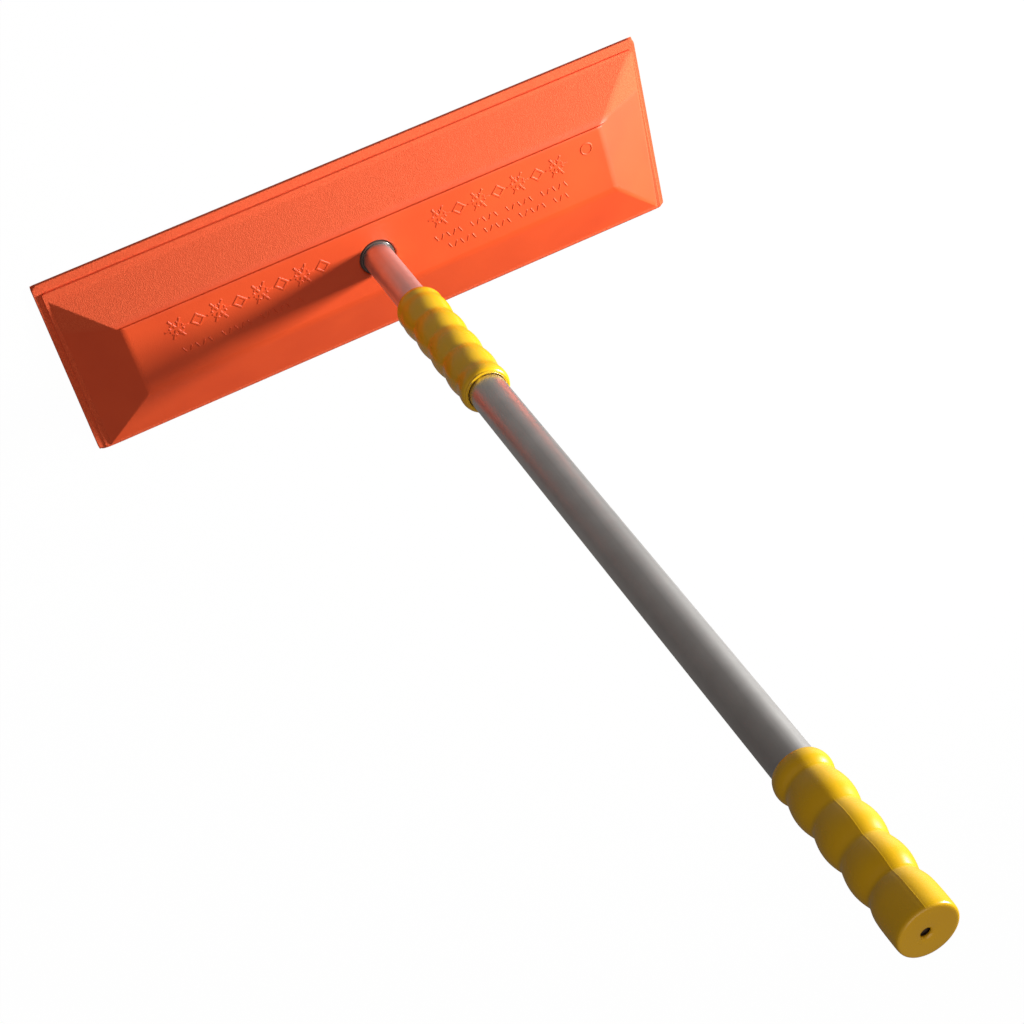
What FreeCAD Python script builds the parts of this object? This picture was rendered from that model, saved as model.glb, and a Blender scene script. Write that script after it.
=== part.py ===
import FreeCAD, Part
import math
import os

# A snow rake: a foam push head on a twist-lock telescoping pole, pole fully pushed in.
# Millimetres. +Z runs along the pole away from the head, +X along the head's long side.
# The origin is the centre of the head's flat front face, which lies on z = 0.

# ---- foam head ----
head_width = 431.8
head_height = 134.6
head_thickness = 26.0
head_corner_radius = 3.5
rim_width = 10.5
rim_thickness = 3.0
rim_shoulder = 1.2
plateau_width = 345.6
plateau_height = 56.6
plateau_step = 0.8
hip_round = 1.5

# ---- socket in the head, and the foam disc that covers it ----
disc_radius = 30.0
disc_thickness = 3.0
foam_gap = 0.2
socket_flange_thickness = 2.5
socket_wall = 2.0
socket_floor = 2.4
socket_recess = 1.0
screw_pocket_gap = 1.0
drive_rib_width = 2.4
drive_rib_height = 2.5
rib_gap = 0.1

# ---- tubes ----
inner_tube_radius = 10.5
tube_wall = 0.8
slide_gap = 0.7
stop_gap = 0.5
press_gap = 0.05

# ---- plugs, pins and screws ----
plug_length = 26.0
pin_radius = 1.5
pin_depth = 13.0
pin_screw_gap = 3.4
screw_radius = 1.7
screw_head_radius = 4.0
screw_head_height = 2.2
screw_length = 12.0
screw_point = 2.0
screw_hole_gap = 0.4
screw_end_gap = 0.5
screw_head_gap = 0.4
recess_width = 0.9
recess_span = 4.4
recess_depth = 1.2
socket_washer_radius = 7.5
washer_thickness = 1.0

# ---- twist lock ----
lock_flange_thickness = 2.0
lock_flange_gap = 0.3
lock_offset = 0.6
cam_core_wall = 2.0
cam_length = 16.0
cam_end_gap = 0.3
cam_tube_gap = 0.4
cam_bore_gap = 0.5
cam_split = 2.5
drag_ring_section = 0.75
drag_ring_tube_gap = 0.1
drag_groove_gap = 0.25
lock_washer_edge_gap = 1.6

# ---- guide bush ----
bush_length = 45.0
bush_flange = 2.5
bush_running_gap = 0.05
bush_rivet_radius = 1.6
bush_rivet_depth = 12.0

# ---- grips: walls are measured outwards from the outer tube ----
pole_end = 681.8
ring_pitch = 23.6
grip_end_wall = 3.0
grip_hole_gap = 0.4
grip_lip_gap = 0.35
grip_lip_depth = 1.5
front_grip_start = 95.1
front_crest_wall = 4.1
front_valley_wall = 3.0
front_shoulder_wall = 3.3
front_lip_wall = 2.5
front_nose_wall = 1.0
front_nose_length = 8.0
front_first_valley = 30.7
front_ring_count = 3
front_tail = 12.6
rear_crest_wall = 3.8
rear_valley_wall = 2.0
rear_lip_wall = 1.6
rear_first_crest_wall = 3.4
rear_first_valley = 12.7
rear_ring_count = 3
rear_flare = 7.5
rear_tail = 27.2
rear_end_wall = 3.5
rear_end_round = 1.6
vent_radius = 2.3
vent_offset = (-1.5, -0.5)

# ---- cap in the outer tube's rear end ----
end_plug_spigot = 21.9
end_plug_flange = 2.0
end_plug_wall = 1.6

# ---- radii worked out from the sizes above ----
inner_tube_bore = inner_tube_radius - tube_wall
outer_tube_bore = inner_tube_radius + slide_gap
outer_tube_radius = outer_tube_bore + tube_wall
socket_bore = inner_tube_radius + press_gap
sleeve_radius = socket_bore + socket_wall
cam_radius = outer_tube_bore - cam_tube_gap
drag_ring_centre = outer_tube_bore - drag_ring_tube_gap - drag_ring_section
drag_groove_floor = drag_ring_centre - drag_ring_section
cam_bore = drag_groove_floor - cam_core_wall - lock_offset
journal_radius = cam_bore - cam_bore_gap
lock_washer_radius = outer_tube_bore - lock_offset - lock_washer_edge_gap

# ---- places along the pole, from the head ----
plateau_base = head_thickness - plateau_step
flange_rear = disc_thickness + socket_flange_thickness
sleeve_end = head_thickness - socket_recess
socket_screw_head = disc_thickness + screw_head_gap
socket_washer_front = socket_screw_head + screw_head_height
floor_front = socket_washer_front + washer_thickness
inner_tube_front = floor_front + socket_floor
socket_screw_tip = socket_washer_front + screw_length
front_pin_place = socket_screw_tip + pin_screw_gap + pin_radius
outer_tube_front = front_grip_start + grip_end_wall + bush_flange
bush_rear = outer_tube_front + bush_length
front_grip_end = front_grip_start + front_first_valley + front_ring_count * ring_pitch + front_tail

# ---- places along the pole, from its far end ----
rear_grip_start = pole_end - rear_tail - rear_ring_count * ring_pitch - rear_first_valley
end_plug_rear = pole_end - rear_end_wall
outer_tube_rear = end_plug_rear - end_plug_flange
end_plug_front = outer_tube_rear - end_plug_spigot
lock_end = end_plug_front - stop_gap
journal_end = lock_end - screw_head_height - washer_thickness
journal_front = journal_end - cam_length - 2 * cam_end_gap
cam_front = journal_front + cam_end_gap
cam_rear = cam_front + cam_length
inner_tube_rear = journal_front - lock_flange_thickness
rear_pin_place = inner_tube_rear - pin_depth
travel = inner_tube_rear - stop_gap - bush_rear


def point(radius, z):
    """A point of a turned outline, at a radius from the pole's axis."""
    return FreeCAD.Vector(radius, 0, z)


def rod(radius, z_low, z_high, x=0.0, y=0.0):
    """A solid cylinder along Z."""
    return Part.makeCylinder(radius, z_high - z_low, FreeCAD.Vector(x, y, z_low))


def cross_rod(radius, half_length, z, direction):
    """A solid cylinder across the pole's axis at height z."""
    start = direction * -half_length + FreeCAD.Vector(0, 0, z)
    return Part.makeCylinder(radius, 2 * half_length, start, direction)


def block(width, height, z_low, z_high, x=0.0, y=0.0):
    """A box centred on x and y."""
    corner = FreeCAD.Vector(x - width / 2, y - height / 2, z_low)
    return Part.makeBox(width, height, z_high - z_low, corner)


def rectangle(width, height, z):
    """A closed rectangular wire centred on the axis."""
    half_w = width / 2
    half_h = height / 2
    corners = [(-half_w, -half_h), (half_w, -half_h), (half_w, half_h), (-half_w, half_h)]
    corners.append(corners[0])
    return Part.makePolygon([FreeCAD.Vector(x, y, z) for x, y in corners])


def arc(start, middle, end):
    return Part.Arc(start, middle, end).toShape()


def turned(edges):
    """Turns a closed outline round the pole's axis into a solid."""
    face = Part.Face(Part.Wire(edges))
    return face.revolve(FreeCAD.Vector(0, 0, 0), FreeCAD.Vector(0, 0, 1), 360)


def screw(head_face, bearing_face, direction, x=0.0):
    """A pan-head screw: direction is +1 where the shank runs towards +Z."""
    low, high = sorted((head_face, bearing_face))
    head = rod(screw_head_radius, low, high, x)
    tip = bearing_face + direction * screw_length
    body_end = tip - direction * screw_point
    low, high = sorted((bearing_face, body_end))
    shank = rod(screw_radius, low, high, x)
    axis = FreeCAD.Vector(0, 0, direction)
    cone = Part.makeCone(screw_radius, screw_radius / 4, screw_point, FreeCAD.Vector(x, 0, body_end), axis)
    recess_end = head_face + direction * recess_depth
    low, high = sorted((head_face, recess_end))
    slot_x = block(recess_span, recess_width, low, high, x)
    slot_y = block(recess_width, recess_span, low, high, x)
    return head.fuse([shank, cone]).removeSplitter().cut([slot_x, slot_y])


def foam_head():
    """The moulded block: pressed rim, hipped slopes and a raised plateau, with a stepped hole."""
    rim = block(head_width, head_height, 0, rim_thickness)
    upright = [e for e in rim.Edges if abs(e.tangentAt(e.FirstParameter).z) > 0.9]
    rim = rim.makeFillet(head_corner_radius, upright)
    base_width = head_width - 2 * rim_width
    base_height = head_height - 2 * rim_width
    slope_base = rim_thickness + rim_shoulder
    shoulder = block(base_width, base_height, rim_thickness, slope_base)
    low = rectangle(base_width, base_height, slope_base)
    high = rectangle(plateau_width, plateau_height, plateau_base)
    slopes = Part.makeLoft([low, high], True, True)
    hips = [e for e in slopes.Edges if abs(e.tangentAt(e.FirstParameter).z) > 0.1]
    slopes = slopes.makeFillet(hip_round, hips)
    plateau = block(plateau_width, plateau_height, plateau_base, head_thickness)
    body = rim.fuse([shoulder, slopes, plateau])
    hole = rod(sleeve_radius + foam_gap / 2, 0, head_thickness)
    recess = rod(disc_radius + foam_gap, 0, flange_rear)
    return body.cut([hole, recess])


def face_disc():
    """Foam disc glued over the socket flange, flush with the pushing face."""
    return rod(disc_radius, 0, disc_thickness)


def pole_socket():
    """Flanged sleeve glued into the foam: a floor with a screw hole and a drive rib."""
    flange = rod(disc_radius, disc_thickness, flange_rear)
    sleeve = rod(sleeve_radius, disc_thickness, sleeve_end)
    body = flange.fuse(sleeve).removeSplitter()
    bore = rod(socket_bore, inner_tube_front, sleeve_end)
    pocket = rod(socket_washer_radius + screw_pocket_gap, disc_thickness, floor_front)
    body = body.cut([bore, pocket])
    rib_top = inner_tube_front + drive_rib_height
    rib = block(2 * sleeve_radius, drive_rib_width, inner_tube_front, rib_top)
    rib = rib.common(rod(socket_bore + socket_wall / 2, inner_tube_front, rib_top))
    screw_hole = rod(screw_radius + screw_hole_gap, floor_front, rib_top)
    return body.fuse(rib).removeSplitter().cut(screw_hole)


def drive_notch():
    """The slot that the drive rib fills, across the front end of the tube and its plug."""
    width = drive_rib_width + 2 * rib_gap
    notch_end = inner_tube_front + drive_rib_height + rib_gap
    return block(3 * inner_tube_radius, width, inner_tube_front, notch_end)


def inner_tube():
    tube = rod(inner_tube_radius, inner_tube_front, inner_tube_rear)
    bore = rod(inner_tube_bore, inner_tube_front, inner_tube_rear)
    pin_holes = [plug_pin(z) for z in (front_pin_place, rear_pin_place)]
    return tube.cut([bore, drive_notch()] + pin_holes)


def plug_pin(z):
    """A cross pin through the inner tube and its plug, dressed flush with the tube's surface."""
    pin = cross_rod(pin_radius, inner_tube_radius, z, FreeCAD.Vector(0, 1, 0))
    return pin.common(rod(inner_tube_radius, z - 2 * pin_radius, z + 2 * pin_radius))


def front_plug():
    """Plug in the front end of the inner tube, drilled for the socket screw."""
    body = rod(inner_tube_bore, inner_tube_front, inner_tube_front + plug_length)
    pilot = rod(screw_radius, inner_tube_front, socket_screw_tip + screw_end_gap)
    return body.cut([pilot, drive_notch(), plug_pin(front_pin_place)])


def socket_washer():
    washer = rod(socket_washer_radius, socket_washer_front, floor_front)
    return washer.cut(rod(screw_radius, socket_washer_front, floor_front))


def lock_plug():
    """Plug in the rear end of the inner tube: stop flange and off-centre journal for the cam."""
    body = rod(inner_tube_bore, inner_tube_rear - plug_length, inner_tube_rear)
    flange_radius = outer_tube_bore - lock_flange_gap
    flange = rod(flange_radius, inner_tube_rear, journal_front)
    journal = rod(journal_radius, journal_front, journal_end, lock_offset)
    pilot_depth = screw_length - washer_thickness + screw_end_gap
    pilot = rod(screw_radius, journal_end - pilot_depth, journal_end, lock_offset)
    return body.fuse([flange, journal]).removeSplitter().cut([pilot, plug_pin(rear_pin_place)])


def lock_cam():
    """Split ring, bored off centre: outside it is true to the pole's axis, inside to the journal."""
    ring = rod(cam_radius, cam_front, cam_rear)
    bore = rod(cam_bore, cam_front, cam_rear, lock_offset)
    split = block(cam_radius, cam_split, cam_front, cam_rear, lock_offset + cam_radius / 2)
    middle = (cam_front + cam_rear) / 2
    low = middle - drag_ring_section - drag_groove_gap
    high = middle + drag_ring_section + drag_groove_gap
    groove = rod(cam_radius, low, high).cut(rod(drag_groove_floor, low, high))
    return ring.cut([bore, split, groove])


def cam_drag_ring():
    middle = FreeCAD.Vector(0, 0, (cam_front + cam_rear) / 2)
    return Part.makeTorus(drag_ring_centre, drag_ring_section, middle, FreeCAD.Vector(0, 0, 1))


def lock_washer():
    rear = journal_end + washer_thickness
    washer = rod(lock_washer_radius, journal_end, rear, lock_offset)
    return washer.cut(rod(screw_radius, journal_end, rear, lock_offset))


def guide_bush():
    """Thin sleeve between the tubes, with a flange against the outer tube's front end."""
    sleeve = rod(outer_tube_bore, outer_tube_front, bush_rear)
    flange = rod(outer_tube_radius, outer_tube_front - bush_flange, outer_tube_front)
    body = sleeve.fuse(flange)
    bore = rod(inner_tube_radius + bush_running_gap, outer_tube_front - bush_flange, bush_rear)
    return body.cut([bore, bush_rivets()])


def bush_rivets():
    """Two flush rivets through the outer tube's wall into the bush, one each side."""
    z = outer_tube_front + bush_rivet_depth
    across = cross_rod(bush_rivet_radius, outer_tube_radius, z, FreeCAD.Vector(0, 1, 0))
    low = z - 2 * bush_rivet_radius
    high = z + 2 * bush_rivet_radius
    shell = rod(outer_tube_radius, low, high)
    core_radius = inner_tube_radius + 2 * bush_running_gap
    return across.common(shell).cut(rod(core_radius, low, high))


def outer_tube():
    tube = rod(outer_tube_radius, outer_tube_front, outer_tube_rear)
    bore = rod(outer_tube_bore, outer_tube_front, outer_tube_rear)
    return tube.cut([bore, bush_rivets()])


def tube_end_plug():
    """Hollow cap in the outer tube's rear end; its front rim is the stop for the pushed-in pole."""
    spigot = rod(outer_tube_bore, end_plug_front, outer_tube_rear)
    flange = rod(outer_tube_radius, outer_tube_rear, end_plug_rear)
    hollow = rod(outer_tube_bore - end_plug_wall, end_plug_front + end_plug_wall, outer_tube_rear)
    return spigot.fuse(flange).removeSplitter().cut(hollow)


def grip_point(wall, z):
    """A point of a grip's outline, a wall's thickness outside the outer tube."""
    return point(outer_tube_radius + wall, z)


def rings(first_valley, count, valley_wall, crest_wall):
    """The outline of a grip's full rings: one arc each, from valley to valley."""
    edges = []
    for number in range(count):
        start = first_valley + number * ring_pitch
        end = start + ring_pitch
        crest = grip_point(crest_wall, (start + end) / 2)
        edges.append(arc(grip_point(valley_wall, start), crest, grip_point(valley_wall, end)))
    return edges


def straight_run(points):
    """Straight edges through a list of points."""
    return [Part.makeLine(start, end) for start, end in zip(points, points[1:])]


def front_grip():
    """Ringed sleeve over the joint of the two tubes: a rounded nose, rings and a thin rear lip."""
    hole = inner_tube_radius + grip_hole_gap
    nose_start = grip_point(front_nose_wall, front_grip_start)
    nose_middle = grip_point(front_shoulder_wall, front_grip_start + front_nose_length / 2)
    nose_end_z = front_grip_start + front_nose_length
    nose_end = grip_point(front_shoulder_wall, nose_end_z)
    first_valley_z = front_grip_start + front_first_valley
    first_crest = grip_point(front_crest_wall, (nose_end_z + first_valley_z) / 2)
    first_valley = grip_point(front_valley_wall, first_valley_z)
    last_valley_z = front_grip_end - front_tail
    last_valley = grip_point(front_valley_wall, last_valley_z)
    last_crest = grip_point(front_crest_wall, (last_valley_z + front_grip_end) / 2)
    lip = grip_point(front_lip_wall, front_grip_end)
    outside = [arc(nose_start, nose_middle, nose_end), arc(nose_end, first_crest, first_valley)]
    outside += rings(first_valley_z, front_ring_count, front_valley_wall, front_crest_wall)
    outside.append(arc(last_valley, last_crest, lip))
    lip_start = front_grip_end - grip_lip_depth
    bore_start = front_grip_start + grip_end_wall
    inside = straight_run([
        lip,
        grip_point(grip_lip_gap, front_grip_end),
        grip_point(grip_lip_gap, lip_start),
        grip_point(0, lip_start),
        grip_point(0, bore_start),
        point(hole, bore_start),
        point(hole, front_grip_start),
        nose_start,
    ])
    return turned(outside + inside)


def rear_grip():
    """Ringed sleeve with a plain closed end, which has a small vent hole through it."""
    lip = grip_point(rear_lip_wall, rear_grip_start)
    first_valley_z = rear_grip_start + rear_first_valley
    first_valley = grip_point(rear_valley_wall, first_valley_z)
    first_crest = grip_point(rear_first_crest_wall, rear_grip_start + rear_first_valley / 2)
    last_valley_z = pole_end - rear_tail
    last_valley = grip_point(rear_valley_wall, last_valley_z)
    flare_wall = (rear_valley_wall + 3 * rear_crest_wall) / 4
    flare_middle = grip_point(flare_wall, last_valley_z + rear_flare / 2)
    flare_end = grip_point(rear_crest_wall, last_valley_z + rear_flare)
    round_start = grip_point(rear_crest_wall, pole_end - rear_end_round)
    round_end = grip_point(rear_crest_wall - rear_end_round, pole_end)
    inset = rear_end_round * (1 - math.sqrt(0.5))
    round_middle = grip_point(rear_crest_wall - inset, pole_end - inset)
    outside = [arc(lip, first_crest, first_valley)]
    outside += rings(first_valley_z, rear_ring_count, rear_valley_wall, rear_crest_wall)
    outside.append(arc(last_valley, flare_middle, flare_end))
    outside += straight_run([flare_end, round_start])
    outside.append(arc(round_start, round_middle, round_end))
    bore_start = rear_grip_start + grip_lip_depth
    inside = straight_run([
        round_end,
        point(0, pole_end),
        point(0, end_plug_rear),
        grip_point(0, end_plug_rear),
        grip_point(0, bore_start),
        grip_point(grip_lip_gap, bore_start),
        grip_point(grip_lip_gap, rear_grip_start),
        lip,
    ])
    return turned(outside + inside).cut(rod(vent_radius, end_plug_rear, pole_end, *vent_offset))


def build():
    """Every piece by its name, from the head to the far end of the pole."""
    return {
        "foam_head": foam_head(),
        "face_disc": face_disc(),
        "pole_socket": pole_socket(),
        "socket_washer": socket_washer(),
        "socket_screw": screw(socket_screw_head, socket_washer_front, 1),
        "inner_tube": inner_tube(),
        "front_plug": front_plug(),
        "front_plug_pin": plug_pin(front_pin_place),
        "lock_plug": lock_plug(),
        "lock_plug_pin": plug_pin(rear_pin_place),
        "lock_cam": lock_cam(),
        "cam_drag_ring": cam_drag_ring(),
        "lock_washer": lock_washer(),
        "lock_screw": screw(lock_end, lock_end - screw_head_height, -1, lock_offset),
        "guide_bush": guide_bush(),
        "bush_rivets": bush_rivets(),
        "outer_tube": outer_tube(),
        "tube_end_plug": tube_end_plug(),
        "front_grip": front_grip(),
        "rear_grip": rear_grip(),
    }


os.makedirs("parts", exist_ok=True)
for node, shape in build().items():
    shape.exportStep("parts/" + node + ".step")
    box = shape.BoundBox
    print(node, shape.isValid(), len(shape.Solids), round(box.ZMin, 2), round(box.ZMax, 2))
print("pole travel", round(travel, 2))
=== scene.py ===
import bpy
import bmesh
import math
from mathutils import Matrix, Vector


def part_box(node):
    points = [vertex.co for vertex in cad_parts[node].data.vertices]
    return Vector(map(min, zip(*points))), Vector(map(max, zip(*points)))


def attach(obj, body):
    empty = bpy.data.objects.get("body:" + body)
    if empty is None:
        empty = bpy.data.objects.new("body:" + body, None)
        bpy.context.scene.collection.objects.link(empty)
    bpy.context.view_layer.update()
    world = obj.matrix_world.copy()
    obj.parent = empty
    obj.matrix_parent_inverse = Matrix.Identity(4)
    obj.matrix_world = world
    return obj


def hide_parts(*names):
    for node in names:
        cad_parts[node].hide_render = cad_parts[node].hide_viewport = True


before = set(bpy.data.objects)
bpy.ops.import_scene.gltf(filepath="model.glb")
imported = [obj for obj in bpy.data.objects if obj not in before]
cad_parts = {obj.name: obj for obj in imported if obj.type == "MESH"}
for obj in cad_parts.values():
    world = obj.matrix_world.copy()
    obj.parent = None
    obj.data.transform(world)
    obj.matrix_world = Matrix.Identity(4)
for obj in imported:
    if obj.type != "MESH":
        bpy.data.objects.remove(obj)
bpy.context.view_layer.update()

# ---- The studio ----
# A long lens looks down on the back of the head. A small lamp at the head's right end gives
# the highlights, and a wide warm one overhead fills the shade. The floor is plain and white.
MM = 0.001


def add_object(name, data):
    """Links a new object that sits at the origin."""
    item = bpy.data.objects.new(name, data)
    bpy.context.scene.collection.objects.link(item)
    return item


def add_lamp(name, toward, distance, size, power, colour=(1.0, 1.0, 1.0), aim=(0.0, 0.0, 0.02)):
    """A square soft lamp placed along a direction from the point it is aimed at."""
    light = bpy.data.lights.new(name, "AREA")
    light.shape = "SQUARE"
    light.size = size
    light.energy = power
    light.color = colour
    lamp = add_object(name, light)
    away = Vector(toward).normalized()
    lamp.location = Vector(aim) + away * distance
    lamp.rotation_euler = away.to_track_quat("Z", "Y").to_euler()


lens = bpy.data.cameras.new("studio_camera")
lens.sensor_width = 36.0
lens.lens = 72.37
lens.clip_start = 0.05
lens.clip_end = 50.0
camera = add_object("studio_camera", lens)
camera_right = Vector((0.89113805, -0.20465078, 0.40495806))
camera_up = Vector((0.41059891, 0.74353026, -0.52779853))
camera_back = Vector((-0.19308418, 0.63661669, 0.74661749))
camera_place = (-0.253244, 0.724069, 1.167513)
camera_turn = Matrix((camera_right, camera_up, camera_back)).transposed().to_4x4()
camera.matrix_world = Matrix.Translation(camera_place) @ camera_turn
bpy.context.scene.camera = camera

add_lamp("key_lamp", (1.0, 0.095, 0.555), distance=1.146, size=0.2, power=25.0,
         colour=(1.0, 0.99, 0.97))
add_lamp("top_fill", (-0.1, 0.22, 1.0), distance=2.0, size=1.7, power=8.2,
         colour=(1.0, 0.89, 0.8), aim=(0.0, 0.0, 0.3))


def node(tree, kind, x, y, **settings):
    """Adds a node to a tree, with its settings and its unlinked sockets' values."""
    made = tree.nodes.new(kind)
    made.location = (x, y)
    for name, value in settings.items():
        if hasattr(made, name):
            setattr(made, name, value)
        else:
            made.inputs[name.replace("_", " ")].default_value = value
    return made


# The room is a dim warm grey for lighting, and plain white where it is looked at.
world = bpy.data.worlds.new("studio_world")
world.use_nodes = True
tree = world.node_tree
dim_room = tree.nodes["Background"]
dim_room.inputs["Color"].default_value = (0.18, 0.153, 0.146, 1.0)
white_room = node(tree, "ShaderNodeBackground", 0, -200, Color=(1.0, 1.0, 1.0, 1.0))
looked_at = node(tree, "ShaderNodeLightPath", 0, 300)
room = node(tree, "ShaderNodeMixShader", 200, 100)
tree.links.new(looked_at.outputs["Is Camera Ray"], room.inputs[0])
tree.links.new(dim_room.outputs[0], room.inputs[1])
tree.links.new(white_room.outputs[0], room.inputs[2])
tree.links.new(room.outputs[0], tree.nodes["World Output"].inputs[0])
bpy.context.scene.world = world
bpy.context.scene.view_settings.view_transform = "Standard"

# The floor glows white where it is looked at from above, and is clear from below. The light it
# throws back on the tool is only that of a grey paint.
FLOOR_GLOW_SHARE = 0.93
FLOOR_HALF_WIDTH = 12.0
FLOOR_GAP = 0.2 * MM
floor_paint = bpy.data.materials.new("white_floor")
floor_paint.use_nodes = True
tree = floor_paint.node_tree
tree.nodes.clear()
paint = node(tree, "ShaderNodeBsdfDiffuse", -200, 100, Color=(0.2, 0.2, 0.2, 1.0))
bright = node(tree, "ShaderNodeEmission", -200, -50, Color=(1.0, 1.0, 1.0, 1.0), Strength=1.06)
clear = node(tree, "ShaderNodeBsdfTransparent", 0, -150)
seen = node(tree, "ShaderNodeLightPath", -600, 300)
share = node(tree, "ShaderNodeMath", -400, 300, operation="MULTIPLY")
share.inputs[1].default_value = FLOOR_GLOW_SHARE
under = node(tree, "ShaderNodeNewGeometry", -200, 500)
lit = node(tree, "ShaderNodeMixShader", 0, 100)
sided = node(tree, "ShaderNodeMixShader", 200, 100)
out = node(tree, "ShaderNodeOutputMaterial", 400, 100)
tree.links.new(seen.outputs["Is Camera Ray"], share.inputs[0])
tree.links.new(share.outputs[0], lit.inputs[0])
tree.links.new(paint.outputs[0], lit.inputs[1])
tree.links.new(bright.outputs[0], lit.inputs[2])
tree.links.new(under.outputs["Backfacing"], sided.inputs[0])
tree.links.new(lit.outputs[0], sided.inputs[1])
tree.links.new(clear.outputs[0], sided.inputs[2])
tree.links.new(sided.outputs[0], out.inputs[0])

bm = bmesh.new()
bmesh.ops.create_grid(bm, x_segments=1, y_segments=1, size=FLOOR_HALF_WIDTH)
floor_mesh = bpy.data.meshes.new("floor")
bm.to_mesh(floor_mesh)
bm.free()
floor_mesh.materials.append(floor_paint)
floor = add_object("floor", floor_mesh)
floor.location.z = -FLOOR_GAP

# ---- Foam head ----
# A block of closed-cell foam, moulded with a pressed rim, a narrow ledge, four hipped slopes
# and a plateau with raised marks. The top slope and the rim keep the mould's coarse grain, with
# a painted sheen that makes its raised cells lighter and pinker, and the rest is smoother.
# It is glued to the socket round its stepped hole.
HEAD_WIDTH = 431.8 * MM
HEAD_HEIGHT = 134.6 * MM
HEAD_THICKNESS = 26.0 * MM
HEAD_DROP = 1.4 * MM
LOW_EDGE = 1.9 * MM
RIM_THICKNESS = 3.0 * MM
PLATEAU_BORDER = 6.4 * MM
WIDEST_ROUND = 6.0 * MM
HOLE_RADIUS = 12.65 * MM
RECESS_RADIUS = 30.2 * MM
RECESS_DEPTH = 5.5 * MM
HOLE_STEPS = 96
MARK_HEIGHT = 0.42 * MM
MARK_SLOPE = 0.38 * MM
HOLE_LAND = 3.5 * MM
FACE_BORDER = 6.0 * MM
NEARLY_FLAT = 0.02

# The radii that the cage's edges are rounded by. A hip's goes by its corner: right, then upper.
FRONT_ROUND = 0.4 * MM
CORNER_ROUND = 4.2 * MM
RIM_ROUND = 0.6 * MM
UPPER_CORNER_ROUND = 2.4 * MM
LEDGE_CORNER_ROUND = 2.5 * MM
LEDGE_ROUND = 0.5 * MM
SLOPE_FOOT_ROUND = 1.0 * MM
STEP_CORNER_ROUND = 0.3 * MM
HIP_ROUNDS = {(False, True): 0.6 * MM, (True, True): 3.6 * MM,
              (False, False): 1.2 * MM, (True, False): 2.0 * MM}
TOP_SIDE_ROUND = 0.25 * MM
LOW_SIDE_ROUND = 5.6 * MM
RIGHT_SIDE_ROUND = 2.8 * MM
LEFT_SIDE_ROUND = 1.8 * MM
HOLE_LIP_ROUND = 1.5 * MM
MARK_ROUND = 0.2 * MM

# Corners of each level of the cage in millimetres: low left, low right, high left, high right.
RIM_CORNERS = ((-211.2, -68.3, 2.6), (213.2, -68.3, 2.6), (-211.2, 59.1, 2.7), (213.2, 59.1, 2.7))
LEDGE_OUTSIDE = ((-211.1, -67.6, 3.2), (212.8, -67.6, 3.2), (-211.1, 59.0, 4.9), (212.6, 59.0, 4.4))
LEDGE_INSIDE = ((-207.2, -65.2, 4.6), (209.8, -65.0, 4.6), (-208.3, 52.2, 5.1), (211.0, 57.4, 5.0))
STEP_FOOT = (
    (-175.5, -29.7, 24.1), (177.5, -27.8, 24.1), (-176.9, 26.45, 24.1), (175.0, 26.45, 24.1))
PLATEAU_CORNERS = (
    (-172.4, -26.3, 26.0), (174.4, -24.2, 26.0), (-173.8, 26.4, 26.0), (171.5, 26.4, 26.0))


def raise_face(bm, face, corners):
    """Pulls a four-sided face up to new corners, and returns the raised face."""
    face = bmesh.ops.extrude_discrete_faces(bm, faces=[face])["faces"][0]
    for vert in face.verts:
        vert.co = Vector(corners[2 * (vert.co.y > 0) + (vert.co.x > 0)]) * MM
    return face


def ring_of_edges(bm, radius, z, x=0.0, y=0.0, steps=HOLE_STEPS):
    """A closed circle of edges, flat at a height."""
    place = Matrix.Translation((x, y, z))
    verts = bmesh.ops.create_circle(bm, segments=steps, radius=radius, matrix=place)["verts"]
    return list({edge for vert in verts for edge in vert.link_edges})


def edges_near(bm, x, y, z, reach):
    """The edges that lie wholly within a reach of a point at one height."""
    middle = Vector((x, y, z))
    return [e for e in bm.edges if all((v.co - middle).length < reach for v in e.verts)]


def flake_outline(bm, x, y, z, reach):
    """The outline of a plain six-armed flake: one barbed arm, in shares of its reach, six times."""
    half = 0.1
    arm = [(1.2 * half / math.tan(math.pi / 6), 1.2 * half), (0.42, half), (0.5, 0.27),
           (0.65, 0.185), (0.6, half), (1.0, half)]
    arm = [(out, -side) for out, side in arm] + [(out, side) for out, side in reversed(arm)]
    verts = [bm.verts.new((x + out * reach, y + side * reach, z)) for out, side in arm]
    edges = [bm.edges.new(pair) for pair in zip(verts, verts[1:])]
    bmesh.ops.spin(bm, geom=verts + edges, cent=(x, y, z), axis=(0, 0, 1),
                   angle=2 * math.pi, steps=6, use_duplicate=True)
    outline = edges_near(bm, x, y, z, 1.05 * reach)
    joined = list({v for e in outline for v in e.verts})
    bmesh.ops.remove_doubles(bm, verts=joined, dist=0.02 * reach)
    return edges_near(bm, x, y, z, 1.05 * reach)


def stroke_outline(bm, x, y, z, length, radius, lean):
    """The outline of a short stroke with round ends: a circle pulled apart and turned."""
    place = Matrix.Translation((x, y, z)) @ Matrix.Rotation(math.pi / 16, 4, "Z")
    verts = bmesh.ops.create_circle(bm, segments=16, radius=radius, matrix=place)["verts"]
    for side in (-1, 1):
        end = [v for v in verts if (v.co.x - x) * side > 0]
        bmesh.ops.translate(bm, vec=(side * (length / 2 - radius), 0.0, 0.0), verts=end)
    turn = Matrix.Rotation(math.radians(lean), 3, "Z")
    bmesh.ops.rotate(bm, cent=(x, y, z), matrix=turn, verts=verts)
    return list({edge for vert in verts for edge in vert.link_edges})


def band_outline(bm, x, y, z, radii, steps):
    """The two outlines of a flat band: a ring, or a diamond where it has four steps."""
    return [ring_of_edges(bm, radius, z, x, y, steps) for radius in radii]


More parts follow.
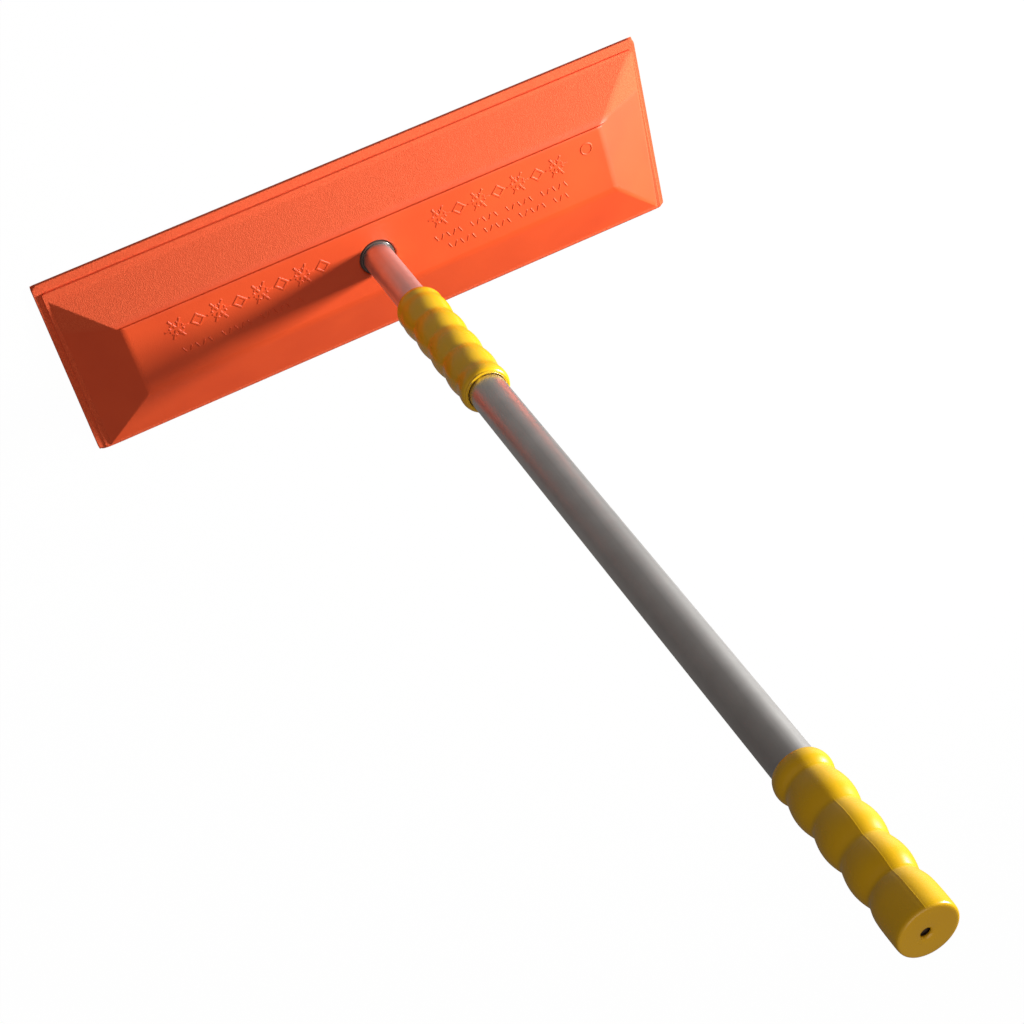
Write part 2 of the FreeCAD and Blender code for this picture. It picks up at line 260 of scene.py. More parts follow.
def set_weight(bm, edges, radius):
    """Marks edges to be rounded by a radius when the whole cage is bevelled."""
    layer = bm.edges.layers.float.get("bevel_weight_edge")
    for edge in edges:
        edge[layer] = radius / WIDEST_ROUND


def is_upright(edge):
    """Whether an edge joins two levels of the cage."""
    return abs((edge.verts[0].co - edge.verts[1].co).z) > 0.1 * MM


def edges_leaving(face):
    """The edges that run down from a face's corners."""
    return [e for v in face.verts for e in v.link_edges if e not in face.edges[:]]


bm = bmesh.new()
bm.edges.layers.float.new("bevel_weight_edge")
bmesh.ops.create_cube(bm, size=1.0)
bmesh.ops.scale(bm, vec=(HEAD_WIDTH, HEAD_HEIGHT, RIM_THICKNESS), verts=bm.verts)
bmesh.ops.translate(bm, vec=(0.0, -HEAD_DROP, RIM_THICKNESS / 2), verts=bm.verts)
set_weight(bm, [e for e in bm.edges if is_upright(e)], CORNER_ROUND)
set_weight(bm, [e for e in bm.edges if all(v.co.z > MM for v in e.verts)], RIM_ROUND)
set_weight(bm, [e for e in bm.edges if all(v.co.z < MM for v in e.verts)], FRONT_ROUND)
low_edge = [v for v in bm.verts if v.co.z > MM and v.co.y < 0]
bmesh.ops.translate(bm, vec=(0.0, 0.0, LOW_EDGE - RIM_THICKNESS), verts=low_edge)

face = max(bm.faces, key=lambda f: f.calc_center_median().z)
face = raise_face(bm, face, RIM_CORNERS)
set_weight(bm, face.edges, LEDGE_ROUND)
set_weight(bm, edges_leaving(face), UPPER_CORNER_ROUND)
face = raise_face(bm, face, LEDGE_OUTSIDE)
set_weight(bm, face.edges, LEDGE_ROUND)
set_weight(bm, edges_leaving(face), LEDGE_CORNER_ROUND)
face = raise_face(bm, face, LEDGE_INSIDE)
set_weight(bm, face.edges, SLOPE_FOOT_ROUND)
face = raise_face(bm, face, STEP_FOOT)
set_weight(bm, face.edges, 0.0)

# The step is upright along the top side only: on the other three the slope runs on to the top.
step_base = [e for e in face.edges if min(v.co.y for v in e.verts) < 0]
face = raise_face(bm, face, PLATEAU_CORNERS)
bmesh.ops.dissolve_edges(bm, edges=step_base, use_verts=True)
SLOPE_TOP = 24.0 * MM
LONGEST_STEP_EDGE = 5.0 * MM
for edge in bm.edges:
    top = max(edge.verts, key=lambda v: v.co.z)
    if is_upright(edge) and top.co.z > SLOPE_TOP:
        is_hip = edge.calc_length() > LONGEST_STEP_EDGE
        hip_round = HIP_ROUNDS[(top.co.x > 0, top.co.y > 0)]
        set_weight(bm, [edge], hip_round if is_hip else STEP_CORNER_ROUND)
NEAR_MIDDLE = 20.0 * MM
for edge in face.edges:
    middle = (edge.verts[0].co + edge.verts[1].co) / 2
    if middle.y > NEAR_MIDDLE:
        set_weight(bm, [edge], TOP_SIDE_ROUND)
    elif middle.y < -NEAR_MIDDLE:
        set_weight(bm, [edge], LOW_SIDE_ROUND)
    else:
        set_weight(bm, [edge], RIGHT_SIDE_ROUND if middle.x > 0 else LEFT_SIDE_ROUND)

# The plateau's flat middle takes the hole and the raised marks.
bmesh.ops.inset_region(bm, faces=[face], thickness=PLATEAU_BORDER, use_even_offset=True)
border = list(face.edges)
bmesh.ops.delete(bm, geom=[face], context="FACES_ONLY")
rim_of_hole = ring_of_edges(bm, HOLE_RADIUS, HEAD_THICKNESS)
round_hole = ring_of_edges(bm, HOLE_RADIUS + HOLE_LAND, HEAD_THICKNESS)
bmesh.ops.bridge_loops(bm, edges=rim_of_hole + round_hole)
set_weight(bm, rim_of_hole, HOLE_LIP_ROUND)

# Two rows of flakes and diamonds in turn, three rows of leaning strokes in groups of five, and
# one ring. A row has its first mark's X, its pitch, its count and its Y, in millimetres, and
# flakes and diamonds have their reach after these.
DIAMOND_SHARES = (0.66, 0.37)
DIAMOND_SIDES = 4
GROUP = 6
STROKE_LENGTH = 4.8 * MM
STROKE_RADIUS = 0.62 * MM
STROKE_LEANS = (114.0, 66.0)
RING_PLACE = (158.6 * MM, 14.6 * MM, HEAD_THICKNESS)
RING_RADII = (4.7 * MM, 3.3 * MM)
RING_STEPS = 32
solid_marks = []
hollow_marks = []
MARK_ROWS = ((-141.0, 14.8, 8, 11.0, 8.4), (47.5, 14.6, 7, 11.0, 8.2))
for first, pitch, count, middle, reach in MARK_ROWS:
    for number in range(count):
        place = ((first + number * pitch) * MM, middle * MM, HEAD_THICKNESS)
        if number % 2 == 0:
            solid_marks.append(flake_outline(bm, *place, reach * MM))
        else:
            radii = [share * reach * MM for share in DIAMOND_SHARES]
            hollow_marks.append(band_outline(bm, *place, radii, DIAMOND_SIDES))
STROKE_ROWS = ((-141.0, 4.6, 19, -6.4), (42.0, 4.4, 24, -4.4), (50.0, 4.4, 21, -13.2))
for first, pitch, count, middle in STROKE_ROWS:
    for number in range(count):
        if number % GROUP != GROUP - 1:
            place = ((first + number * pitch) * MM, middle * MM, HEAD_THICKNESS)
            lean = STROKE_LEANS[number % 2]
            solid_marks.append(stroke_outline(bm, *place, STROKE_LENGTH, STROKE_RADIUS, lean))
hollow_marks.append(band_outline(bm, *RING_PLACE, RING_RADII, RING_STEPS))

flat = border + round_hole + [e for mark in solid_marks for e in mark]
flat += [e for outer, inner in hollow_marks for e in outer + inner]
bmesh.ops.triangle_fill(bm, use_beauty=True, edges=flat)
caps = []
for mark in solid_marks:
    caps += bmesh.ops.edgeloop_fill(bm, edges=mark)["faces"]
for outer, inner in hollow_marks:
    caps += bmesh.ops.bridge_loops(bm, edges=outer + inner)["faces"]
bmesh.ops.inset_region(bm, faces=caps, thickness=MARK_SLOPE, depth=MARK_HEIGHT,
                       use_even_offset=True)
inside = set(caps)
mark_tops = [e for f in caps for e in f.edges if any(g not in inside for g in e.link_faces)]
set_weight(bm, mark_tops, MARK_ROUND)


def pull_edges(bm, edges, height, spread=1.0):
    """Extrudes a loop of edges by a height and a spread, and returns the new loop."""
    pulled = bmesh.ops.extrude_edge_only(bm, edges=edges)["geom"]
    verts = [v for v in pulled if isinstance(v, bmesh.types.BMVert)]
    bmesh.ops.scale(bm, vec=(spread, spread, 1.0), verts=verts)
    bmesh.ops.translate(bm, vec=(0.0, 0.0, height), verts=verts)
    return [e for e in pulled if isinstance(e, bmesh.types.BMEdge)]


loop = pull_edges(bm, rim_of_hole, RECESS_DEPTH - HEAD_THICKNESS)
loop = pull_edges(bm, loop, 0.0, RECESS_RADIUS / HOLE_RADIUS)
loop = pull_edges(bm, loop, -RECESS_DEPTH)
set_weight(bm, loop, FRONT_ROUND)
face = min(bm.faces, key=lambda f: f.calc_center_median().z)
bmesh.ops.inset_region(bm, faces=[face], thickness=FACE_BORDER, use_even_offset=True)
border = list(face.edges)
bmesh.ops.delete(bm, geom=[face], context="FACES_ONLY")
bmesh.ops.triangle_fill(bm, use_beauty=True, edges=border + loop)
bmesh.ops.recalc_face_normals(bm, faces=bm.faces)
flat_edges = [e for e in bm.edges if e.is_manifold and e.calc_face_angle() < NEARLY_FLAT]
set_weight(bm, flat_edges, 0.0)


def finish_mesh(name, bm, sharp_angle=35.0, round_width=None, smooth_levels=0):
    """Makes an object of a bmesh, rounds or smooths it, and keeps its flat faces flat."""
    mesh = bpy.data.meshes.new(name)
    bm.to_mesh(mesh)
    bm.free()
    piece = add_object(name, mesh)
    if round_width:
        rounding = piece.modifiers.new("rounded_edges", "BEVEL")
        rounding.limit_method = "WEIGHT"
        rounding.width = round_width
        rounding.segments = 5
        rounding.profile = 0.5
        rounding.use_clamp_overlap = False
    if smooth_levels:
        subdivision = piece.modifiers.new("smooth_surface", "SUBSURF")
        subdivision.levels = smooth_levels
        subdivision.render_levels = smooth_levels
    if piece.modifiers:
        bpy.context.view_layer.update()
        depsgraph = bpy.context.evaluated_depsgraph_get()
        solved = bpy.data.meshes.new_from_object(piece.evaluated_get(depsgraph))
        piece.modifiers.clear()
        piece.data = solved
    piece.data.shade_smooth()
    piece.data.set_sharp_from_angle(angle=math.radians(sharp_angle))
    weighted = piece.modifiers.new("flat_faces_stay_flat", "WEIGHTED_NORMAL")
    weighted.keep_sharp = True
    return piece


def place_piece(piece, material, body, slot, *nodes):
    """Gives a piece its material and body, and lets it stand for its CAD nodes."""
    piece.data.materials.clear()
    piece.data.materials.append(material)
    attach(piece, body)
    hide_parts(*nodes)


def start_group(name, inputs, outputs):
    """An empty shader node group with named sockets."""
    group = bpy.data.node_groups.new(name, "ShaderNodeTree")
    for socket, kind, value in inputs:
        made = group.interface.new_socket(socket, in_out="INPUT", socket_type=kind)
        if value is not None:
            made.default_value = value
    for socket, kind in outputs:
        group.interface.new_socket(socket, in_out="OUTPUT", socket_type=kind)
    return group, node(group, "NodeGroupInput", -900, 0), node(group, "NodeGroupOutput", 700, 0)


# Pebble grain: small rounded cells of a spark-eroded mould, broken up by a finer noise.
FINE_TO_COARSE = 1.7
grain, put_in, put_out = start_group(
    "pebble_grain",
    [("Position", "NodeSocketVector", None), ("Cells per metre", "NodeSocketFloat", 900.0),
     ("Fineness", "NodeSocketFloat", 0.35)],
    [("Height", "NodeSocketFloat"), ("Patches", "NodeSocketFloat")],
)
cells = node(grain, "ShaderNodeTexVoronoi", -500, 200, feature="SMOOTH_F1", Smoothness=0.6)
fine = node(grain, "ShaderNodeTexNoise", -500, -100, Detail=3.0, Roughness=0.6)
faster = node(grain, "ShaderNodeMath", -700, -100, operation="MULTIPLY")
faster.inputs[1].default_value = FINE_TO_COARSE
blend = node(grain, "ShaderNodeMix", -100, 100, data_type="FLOAT")
patches = node(grain, "ShaderNodeTexNoise", -500, -400, Scale=22.0, Detail=2.0, Roughness=0.5)
for target in (cells, fine, patches):
    grain.links.new(put_in.outputs["Position"], target.inputs["Vector"])
grain.links.new(put_in.outputs["Cells per metre"], cells.inputs["Scale"])
grain.links.new(put_in.outputs["Cells per metre"], faster.inputs[0])
grain.links.new(faster.outputs[0], fine.inputs["Scale"])
grain.links.new(put_in.outputs["Fineness"], blend.inputs[0])
grain.links.new(cells.outputs["Distance"], blend.inputs[2])
grain.links.new(fine.outputs[0], blend.inputs[3])
grain.links.new(blend.outputs[0], put_out.inputs["Height"])
grain.links.new(patches.outputs[0], put_out.inputs["Patches"])


def start_material(name, colour, roughness, metallic=0.0, specular=0.5):
    """A Principled material with its constants on the shader's own sockets."""
    material = bpy.data.materials.new(name)
    material.use_nodes = True
    tree = material.node_tree
    shader = tree.nodes["Principled BSDF"]
    shader.inputs["Base Color"].default_value = (*colour, 1.0)
    shader.inputs["Roughness"].default_value = roughness
    shader.inputs["Metallic"].default_value = metallic
    shader.inputs["Specular IOR Level"].default_value = specular
    place = node(tree, "ShaderNodeTexCoord", -1300, 0)
    return material, tree, shader, place.outputs["Object"]


def add_ramp(tree, source, low, high, x, y, low_at=0.3, high_at=0.7):
    """A map from a value to a colour between two ends."""
    ramp = node(tree, "ShaderNodeValToRGB", x, y)
    for element, place, colour in zip(ramp.color_ramp.elements, (low_at, high_at), (low, high)):
        element.position = place
        element.color = (*colour, 1.0)
    tree.links.new(source, ramp.inputs[0])
    return ramp.outputs[0]


def add_range(tree, source, low, high, x, y, low_at=0.3, high_at=0.7):
    """A map from a value to a number between two ends."""
    limits = node(tree, "ShaderNodeMapRange", x, y)
    sockets = ("From Min", "From Max", "To Min", "To Max")
    for socket, value in zip(sockets, (low_at, high_at, low, high)):
        limits.inputs[socket].default_value = value
    tree.links.new(source, limits.inputs["Value"])
    return limits.outputs[0]


def add_bump(tree, shader, height, distance):
    """A bump on a shader's normal, its distance in metres."""
    bump = node(tree, "ShaderNodeBump", -250, -300, Strength=1.0, Distance=distance)
    tree.links.new(height, bump.inputs["Height"])
    tree.links.new(bump.outputs[0], shader.inputs["Normal"])


def use_group(tree, group, position, x, y, **values):
    """Places a shared effect in a material with its own values."""
    placed = node(tree, "ShaderNodeGroup", x, y)
    placed.node_tree = group
    tree.links.new(position, placed.inputs["Position"])
    for name, value in values.items():
        placed.inputs[name.replace("_", " ")].default_value = value
    return placed


foam, tree, shader, position = start_material("orange_foam", (0.84, 0.08, 0.01), 0.5, specular=0.62)
pebbles = use_group(tree, grain, position, -1000, -200, Cells_per_metre=1500.0, Fineness=0.45)
smooth_colour = add_ramp(
    tree, pebbles.outputs["Patches"], (0.8, 0.074, 0.009), (0.88, 0.09, 0.012), -600, 200)
# Painted sheen: where the grain is coarse, its raised cells are painted lighter and pinker.
grainy_sheen_colour = add_ramp(
    tree, pebbles.outputs["Height"], (0.78, 0.076, 0.012), (0.92, 0.13, 0.037), -600, 450,
    low_at=0.25, high_at=0.65)

# The coarse grain begins at the foot of the top slope, stops below the plateau, and also
# covers the rim. There the colour is painted lighter and pinker as a painted sheen. Each pair
# is where it fades in or out.
TOP_SLOPE_FADE = (26.5 * MM, 31.0 * MM)
PLATEAU_FADE = (24.4 * MM, 25.4 * MM)
RIM_FADE = (4.4 * MM, 5.2 * MM)
split = node(tree, "ShaderNodeSeparateXYZ", -1500, -500)
tree.links.new(position, split.inputs[0])
upper = add_range(tree, split.outputs["Y"], 0.0, 1.0, -1300, -400, *TOP_SLOPE_FADE)
below = add_range(tree, split.outputs["Z"], 1.0, 0.0, -1300, -650, *PLATEAU_FADE)
rim = add_range(tree, split.outputs["Z"], 1.0, 0.0, -1300, -900, *RIM_FADE)
slope = node(tree, "ShaderNodeMath", -1100, -500, operation="MULTIPLY")
grain_and_sheen_part = node(tree, "ShaderNodeMath", -1000, -700, operation="MAXIMUM")
for source, target in ((upper, slope.inputs[0]), (below, slope.inputs[1]),
                       (slope.outputs[0], grain_and_sheen_part.inputs[0]), (rim, grain_and_sheen_part.inputs[1])):
    tree.links.new(source, target)
# A Mix node set to colours has its factor, first and second colour at these inputs.
MIX_FACTOR, MIX_FIRST, MIX_SECOND, MIX_RESULT = 0, 6, 7, 2
# The colour mixes the foam's own tone with the painted sheen of the coarse grain.
skin_colour_with_sheen = node(tree, "ShaderNodeMix", -250, 300, data_type="RGBA")
tree.links.new(grain_and_sheen_part.outputs[0], skin_colour_with_sheen.inputs[MIX_FACTOR])
tree.links.new(smooth_colour, skin_colour_with_sheen.inputs[MIX_FIRST])
tree.links.new(grainy_sheen_colour, skin_colour_with_sheen.inputs[MIX_SECOND])
tree.links.new(skin_colour_with_sheen.outputs[MIX_RESULT], shader.inputs["Base Color"])
gloss = add_range(tree, grain_and_sheen_part.outputs[0], 0.5, 0.85, -600, -50, low_at=0.0, high_at=1.0)
tree.links.new(gloss, shader.inputs["Roughness"])
height = node(tree, "ShaderNodeMath", -500, -300, operation="MULTIPLY")
tree.links.new(pebbles.outputs["Height"], height.inputs[0])
relief = add_range(tree, grain_and_sheen_part.outputs[0], 0.2, 1.0, -800, -500, low_at=0.0, high_at=1.0)
tree.links.new(relief, height.inputs[1])
add_bump(tree, shader, height.outputs[0], 0.42 * MM)

foam_block = finish_mesh("foam_block", bm, round_width=WIDEST_ROUND)
place_piece(foam_block, foam, "head_and_inner_pole", "head_foam", "foam_head")

# ---- Foam face disc ----
# A disc of the same foam, glued over the socket's flange and flush with the pushing face.
# Its edge is slightly rounded where it meets the block, so a fine round seam shows.
SEAM_ROUND = 0.4 * MM
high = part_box("face_disc")[1]
bm = bmesh.new()
bmesh.ops.create_circle(bm, cap_ends=True, segments=HOLE_STEPS, radius=high.x)
raised = bmesh.ops.extrude_discrete_faces(bm, faces=bm.faces[:])["faces"]
bmesh.ops.translate(bm, vec=(0.0, 0.0, high.z), verts=raised[0].verts)
bmesh.ops.holes_fill(bm, edges=[e for e in bm.edges if e.is_boundary], sides=0)
bmesh.ops.recalc_face_normals(bm, faces=bm.faces)
front_edge = [e for e in bm.edges if all(v.co.z < 1e-6 for v in e.verts)]
bmesh.ops.bevel(bm, geom=front_edge, offset=SEAM_ROUND, segments=3, profile=0.5,
                affect="EDGES", material=-1)
face_pad = finish_mesh("foam_face_disc", bm)
place_piece(face_pad, foam, "head_and_inner_pole", "head_foam", "face_disc")

# ---- Pole socket ----
# A black plastic sleeve with a flange, glued into the foam before the disc goes on. Its
# rounded end stands round the tube just below the plateau, and a floor takes the screw.
def turn_profile(bm, profile, steps=HOLE_STEPS):
    """Turns a closed outline of (radius, height) corners round the pole's axis."""
    verts = [bm.verts.new((radius * MM, 0.0, height * MM)) for radius, height in profile]
    edges = [bm.edges.new(pair) for pair in zip(verts, verts[1:] + verts[:1])]
    bmesh.ops.spin(bm, geom=verts + edges, cent=(0, 0, 0), axis=(0, 0, 1), angle=2 * math.pi,
                   steps=steps, use_merge=True)
    bmesh.ops.remove_doubles(bm, verts=bm.verts, dist=1e-6)
    bmesh.ops.recalc_face_normals(bm, faces=bm.faces)


def edges_at(bm, radius, height):
    """The edges of the circle at one radius and height, in millimetres."""
    reach = 0.02 * MM

    def on_circle(vert):
        return abs(vert.co.xy.length - radius * MM) < reach and abs(vert.co.z - height * MM) < reach
    return [e for e in bm.edges if all(on_circle(v) for v in e.verts)]


# The outline in millimetres: flange, sleeve, lip, bore, floor with its screw hole, and pocket.
LIP_OUTSIDE = 12.0
SOCKET_BORE = 10.56
SOCKET_TOP = 25.8
LIP_ROUND = 0.6 * MM
RIB_SIZE = (21.2 * MM, 2.4 * MM, 2.7 * MM)
RIB_MIDDLE = 10.15 * MM
bm = bmesh.new()
turn_profile(bm, [
    (30.0, 3.0), (30.0, 5.5), (12.55, 5.5), (12.55, 24.3), (12.1, 24.4),
    (LIP_OUTSIDE, SOCKET_TOP), (SOCKET_BORE, SOCKET_TOP), (SOCKET_BORE, 9.0),
    (2.1, 9.0), (2.1, 6.6), (8.5, 6.6), (8.5, 3.0),
])
lip = edges_at(bm, LIP_OUTSIDE, SOCKET_TOP) + edges_at(bm, SOCKET_BORE, SOCKET_TOP)
bmesh.ops.bevel(bm, geom=lip, offset=LIP_ROUND, segments=6, profile=0.5,
                affect="EDGES", material=-1)
rib = bmesh.ops.create_cube(bm, size=1.0)["verts"]
bmesh.ops.scale(bm, vec=RIB_SIZE, verts=rib)
bmesh.ops.translate(bm, vec=(0.0, 0.0, RIB_MIDDLE), verts=rib)


def moulded_finish(name, colour, roughness, cells, fineness, colours, gloss, depth, specular=0.5):
    """A moulded material whose colour and gloss vary in patches, under the mould's grain."""
    material, tree, shader, position = start_material(name, colour, roughness, specular=specular)
    skin = use_group(tree, grain, position, -1000, -200, Cells_per_metre=cells, Fineness=fineness)
    patches = skin.outputs["Patches"]
    tree.links.new(add_ramp(tree, patches, *colours, -600, 200), shader.inputs["Base Color"])
    tree.links.new(add_range(tree, patches, *gloss, -600, -50), shader.inputs["Roughness"])
    add_bump(tree, shader, skin.outputs["Height"], depth)
    return material


moulded = moulded_finish(
    "black_moulded_plastic", (0.1, 0.078, 0.068), 0.16, cells=2600.0, fineness=0.7,
    colours=((0.08, 0.062, 0.054), (0.12, 0.094, 0.082)), gloss=(0.12, 0.2),
    depth=0.04 * MM, specular=1.0,
)
socket = finish_mesh("socket_sleeve", bm)
place_piece(socket, moulded, "head_and_inner_pole", "black_plastic", "pole_socket")

# ---- Socket screw and washer ----
# A zinc-plated steel pan-head screw pulls the tube's plug down on the socket's floor, over
# a plain washer. Both sit in the pocket under the foam disc.
def finish_node(name, material):
    """Gives a CAD node that stays in view its own material."""
    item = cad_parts[name]
    item.data.materials.clear()
    item.data.materials.append(material)


drawn, put_in, put_out = start_group(
    "drawn_lines",
    [("Position", "NodeSocketVector", None), ("Lines per metre", "NodeSocketFloat", 2200.0),
     ("Length factor", "NodeSocketFloat", 0.004)],
    [("Lines", "NodeSocketFloat"), ("Marks", "NodeSocketFloat")],
)
stretch = node(drawn, "ShaderNodeCombineXYZ", -700, 200)
stretch.inputs[0].default_value = 1.0
stretch.inputs[1].default_value = 1.0
drawn.links.new(put_in.outputs["Length factor"], stretch.inputs[2])
along = node(drawn, "ShaderNodeVectorMath", -500, 200, operation="MULTIPLY")
drawn.links.new(put_in.outputs["Position"], along.inputs[0])
drawn.links.new(stretch.outputs[0], along.inputs[1])
lines = node(drawn, "ShaderNodeTexNoise", -250, 200, Detail=3.0, Roughness=0.7)
marks = node(drawn, "ShaderNodeTexNoise", -250, -200, Scale=60.0, Detail=4.0, Roughness=0.6)
drawn.links.new(along.outputs[0], lines.inputs["Vector"])
drawn.links.new(put_in.outputs["Lines per metre"], lines.inputs["Scale"])
drawn.links.new(put_in.outputs["Position"], marks.inputs["Vector"])
drawn.links.new(lines.outputs[0], put_out.inputs["Lines"])
drawn.links.new(marks.outputs[0], put_out.inputs["Marks"])


def drawn_finish(name, colour, roughness, lines, length, colours, gloss, depth):
    """A metal whose colour varies in marks, with gloss and relief in lines along the piece."""
    material, tree, shader, position = start_material(name, colour, roughness, metallic=1.0)
    worked = use_group(
        tree, drawn, position, -1000, -200, Lines_per_metre=lines, Length_factor=length)
    tree.links.new(
        add_ramp(tree, worked.outputs["Marks"], *colours, -600, 200), shader.inputs["Base Color"])
    tree.links.new(
        add_range(tree, worked.outputs["Lines"], *gloss, -600, -50), shader.inputs["Roughness"])
    add_bump(tree, shader, worked.outputs["Lines"], depth)
    return material


zinc = drawn_finish(
    "zinc_plated_steel", (0.62, 0.62, 0.6), 0.3, lines=3000.0, length=0.2,
    colours=((0.52, 0.52, 0.49), (0.68, 0.68, 0.67)), gloss=(0.24, 0.38), depth=0.02 * MM,
)
finish_node("socket_washer", zinc)
finish_node("socket_screw", zinc)

# ---- Inner tube ----
# A drawn aluminium tube, 21 mm across, left bright. It is notched for the socket's rib and
# slides inside the outer tube.
bright_tube = drawn_finish(
    "bright_aluminium", (0.72, 0.72, 0.73), 0.3, lines=1500.0, length=0.003,
    colours=((0.68, 0.68, 0.69), (0.76, 0.76, 0.77)), gloss=(0.4, 0.5), depth=0.012 * MM,
)
finish_node("inner_tube", bright_tube)

# ---- Tube plugs and their cross pins ----
# Grey moulded plugs close the inner tube's ends, each held by a steel pin dressed flush.
# The rear one carries the stop flange and the off-centre journal of the twist lock.
grey_moulded = moulded_finish(
    "grey_moulded_plastic", (0.35, 0.36, 0.37), 0.4, cells=2400.0, fineness=0.7,
    colours=((0.32, 0.33, 0.34), (0.38, 0.39, 0.4)), gloss=(0.34, 0.48), depth=0.04 * MM,
)
for name in ("front_plug", "lock_plug", "lock_cam"):
    finish_node(name, grey_moulded)
for name in ("front_plug_pin", "lock_plug_pin"):
    finish_node(name, zinc)

# ---- Twist lock ----
# A split plastic ring on the off-centre journal, with a rubber ring that drags on the outer
# tube, so twisting the pole jams it. A washer and screw keep it on.
rubber = moulded_finish(
    "black_rubber", (0.02, 0.02, 0.02), 0.6, cells=3000.0, fineness=0.5,
    colours=((0.016, 0.016, 0.016), (0.03, 0.03, 0.029)), gloss=(0.5, 0.7), depth=0.03 * MM,
)
finish_node("cam_drag_ring", rubber)
for name in ("lock_washer", "lock_screw"):
    finish_node(name, zinc)

# ---- Guide bush and its rivets ----
# A thin black sleeve keeps the inner tube centred in the outer one. Two flush aluminium
# rivets hold it, under the front grip.
finish_node("guide_bush", moulded)

# ---- Outer tube ----
# A drawn aluminium tube, 24 mm across, with a satin clear-anodised finish. Both grips are
# pushed on it, and a black plug closes its rear end.
satin_tube = drawn_finish(
    "satin_aluminium", (0.66, 0.655, 0.65), 0.36, lines=1300.0, length=0.003,
    colours=((0.66, 0.65, 0.64), (0.74, 0.73, 0.72)), gloss=(0.3, 0.44), depth=0.012 * MM,
)
finish_node("outer_tube", satin_tube)
finish_node("bush_rivets", satin_tube)
finish_node("tube_end_plug", moulded)

# ---- Front grip ----
# A soft yellow vinyl sleeve, dip-moulded with rounded rings, pushed over the joint of the
# two tubes. It closes to a nose round the inner tube and ends behind in a thin lip.
GRIP_STEPS = 48
RING_PITCH = 23.6
RING_COUNT = 3
FIRST_VALLEY = 125.8
ONLY_OUTSIDE = 13.0 * MM
SMOOTHED_CIRCLE = (4 + 2 * math.cos(2 * math.pi / GRIP_STEPS)) / 6


def ring_profile(start, pitch, count, valley, crest, half):
    """Corners of a run of rings, from valley to valley. Smoothing rounds them."""
    corners = []
    for number in range(count):
        base = start + number * pitch
        corners += [(valley, base), (half, base + 0.25 * pitch), (crest, base + 0.5 * pitch),
                    (half, base + 0.75 * pitch)]
    return corners


def turn_grip(bm, outside, inside, valleys, crease):
    """Turns a grip's outline, a little large because smoothing draws its circles in."""
    outline = [(radius / SMOOTHED_CIRCLE, height) for radius, height in outside + inside]
    turn_profile(bm, outline, GRIP_STEPS)

    def in_valley(vert):
        return (vert.co.xy.length > ONLY_OUTSIDE
                and any(abs(vert.co.z - height * MM) < 1e-6 for height in valleys))
    layer = bm.edges.layers.float.new("crease_edge")
    for edge in bm.edges:
        if all(in_valley(v) for v in edge.verts):
            edge[layer] = crease


vinyl = moulded_finish(
    "yellow_vinyl", (0.95, 0.56, 0.004), 0.26, cells=350.0, fineness=0.2,
    colours=((0.93, 0.545, 0.004), (0.97, 0.58, 0.006)), gloss=(0.22, 0.3),
    depth=0.03 * MM, specular=0.8,
)

bm = bmesh.new()
turn_grip(
    bm,
    [(10.95, 95.1), (12.6, 95.1), (13.6, 95.9), (14.9, 98.3), (16.0, 101.6), (15.1, 105.8),
     (16.25, 111.0), (15.9, 118.0)]
    + ring_profile(FIRST_VALLEY, RING_PITCH, RING_COUNT, 14.3, 16.15, 15.55)
    + [(14.5, 196.0), (15.75, 201.0), (15.95, 205.4), (15.2, 207.6), (14.0, 208.3),
       (14.5, 208.7), (14.45, 209.3)],
    [(12.4, 209.2), (12.4, 207.7), (12.02, 207.7), (12.02, 98.1), (10.95, 98.1)],
    valleys=[FIRST_VALLEY + number * RING_PITCH for number in range(RING_COUNT)], crease=0.4,
)
front_sleeve = finish_mesh("front_grip_sleeve", bm, sharp_angle=60.0, smooth_levels=2)
place_piece(front_sleeve, vinyl, "outer_pole", "grip_vinyl", "front_grip")

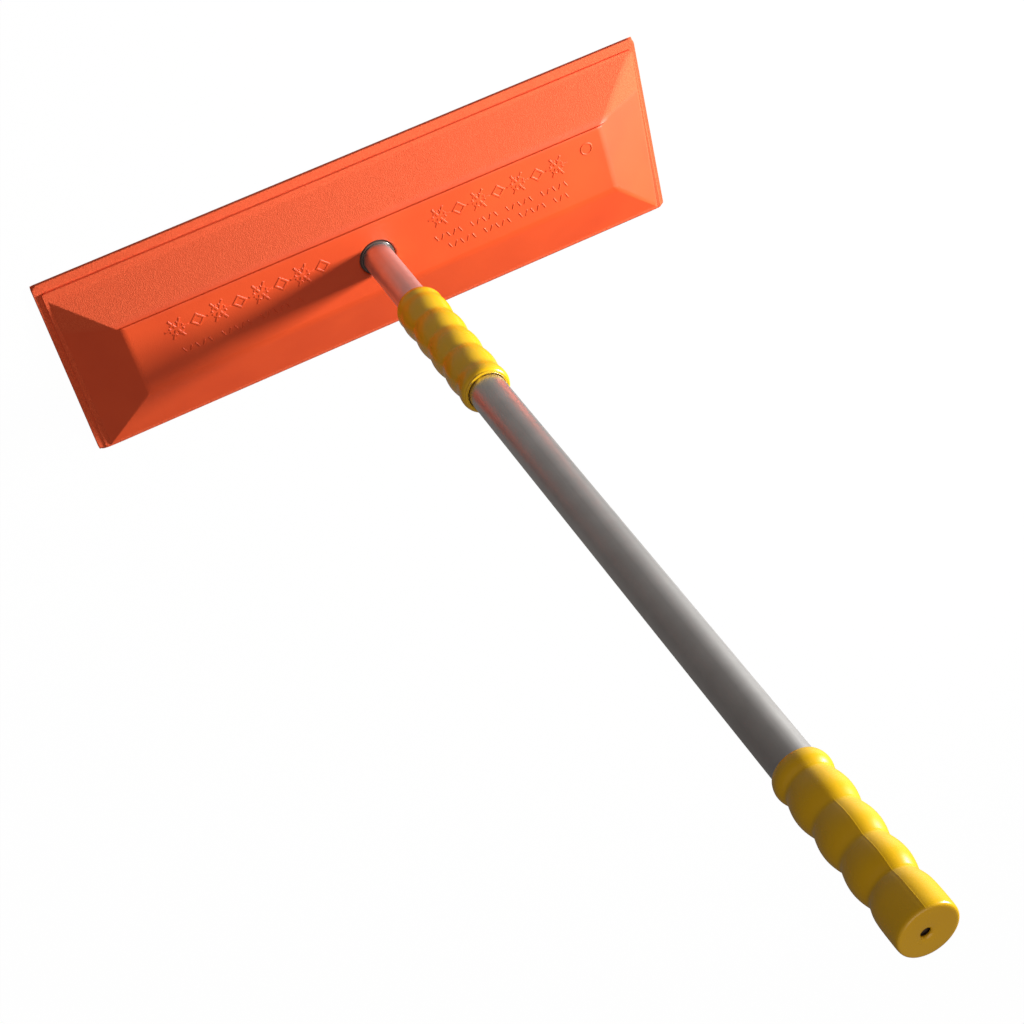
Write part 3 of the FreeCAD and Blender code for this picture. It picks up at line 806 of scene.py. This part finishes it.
# ---- Rear grip ----
# The same vinyl, with a plain closed end. A fine raised line from the two halves of the mould
# runs along both sides, and a small hole, a little off centre, lets the air out.
REAR_VALLEY = 583.8
LAST_VALLEY = REAR_VALLEY + RING_COUNT * RING_PITCH
VENT_REACH = 3.0 * MM
VENT_OFFSET = (-1.5 * MM, -0.5 * MM, 0.0)
bm = bmesh.new()
turn_grip(
    bm,
    [(13.4, 571.1), (14.2, 571.9), (15.5, 575.5), (15.3, 579.5)]
    + ring_profile(REAR_VALLEY, RING_PITCH, RING_COUNT, 13.4, 15.85, 15.2)
    + [(13.4, LAST_VALLEY), (14.8, 658.5), (15.6, 662.1), (15.8, 668.0), (15.8, 675.0),
       (15.8, 679.8), (15.3, 681.3), (13.8, 681.8), (8.0, 681.8), (2.3, 681.8)],
    [(2.3, 678.3), (12.02, 678.3), (12.02, 571.1)],
    valleys=[REAR_VALLEY + number * RING_PITCH for number in range(RING_COUNT + 1)], crease=0.7,
)
vent = [v for v in bm.verts if v.co.xy.length < VENT_REACH]
bmesh.ops.translate(bm, vec=VENT_OFFSET, verts=vent)
rear_sleeve = finish_mesh("rear_grip_sleeve", bm, sharp_angle=60.0, smooth_levels=2)

PARTING_TURN = math.radians(1.0)
PARTING_HALF_WIDTH = 0.35 * MM
PARTING_HEIGHT = 0.11 * MM
PARTING_START = (REAR_VALLEY + RING_PITCH) * MM
CLOSED_END = 681.5 * MM
PARTING_END_GAP = 2.6 * MM
bm = bmesh.new()
bm.from_mesh(rear_sleeve.data)
across = Vector((math.cos(PARTING_TURN), math.sin(PARTING_TURN), 0.0))
for offset in (-PARTING_HALF_WIDTH, 0.0, PARTING_HALF_WIDTH):
    bmesh.ops.bisect_plane(bm, geom=bm.verts[:] + bm.edges[:] + bm.faces[:], dist=1e-6,
                           plane_co=across * offset, plane_no=across)
for vert in [v for v in bm.verts if abs(v.co.dot(across)) < 1e-5]:
    if vert.co.z > PARTING_START and vert.co.xy.length > ONLY_OUTSIDE:
        vert.co += vert.co.xy.normalized().to_3d() * PARTING_HEIGHT
    elif vert.co.z > CLOSED_END and vert.co.y > PARTING_END_GAP:
        vert.co.z += PARTING_HEIGHT
bm.to_mesh(rear_sleeve.data)
bm.free()
place_piece(rear_sleeve, vinyl, "outer_pole", "grip_vinyl", "rear_grip")
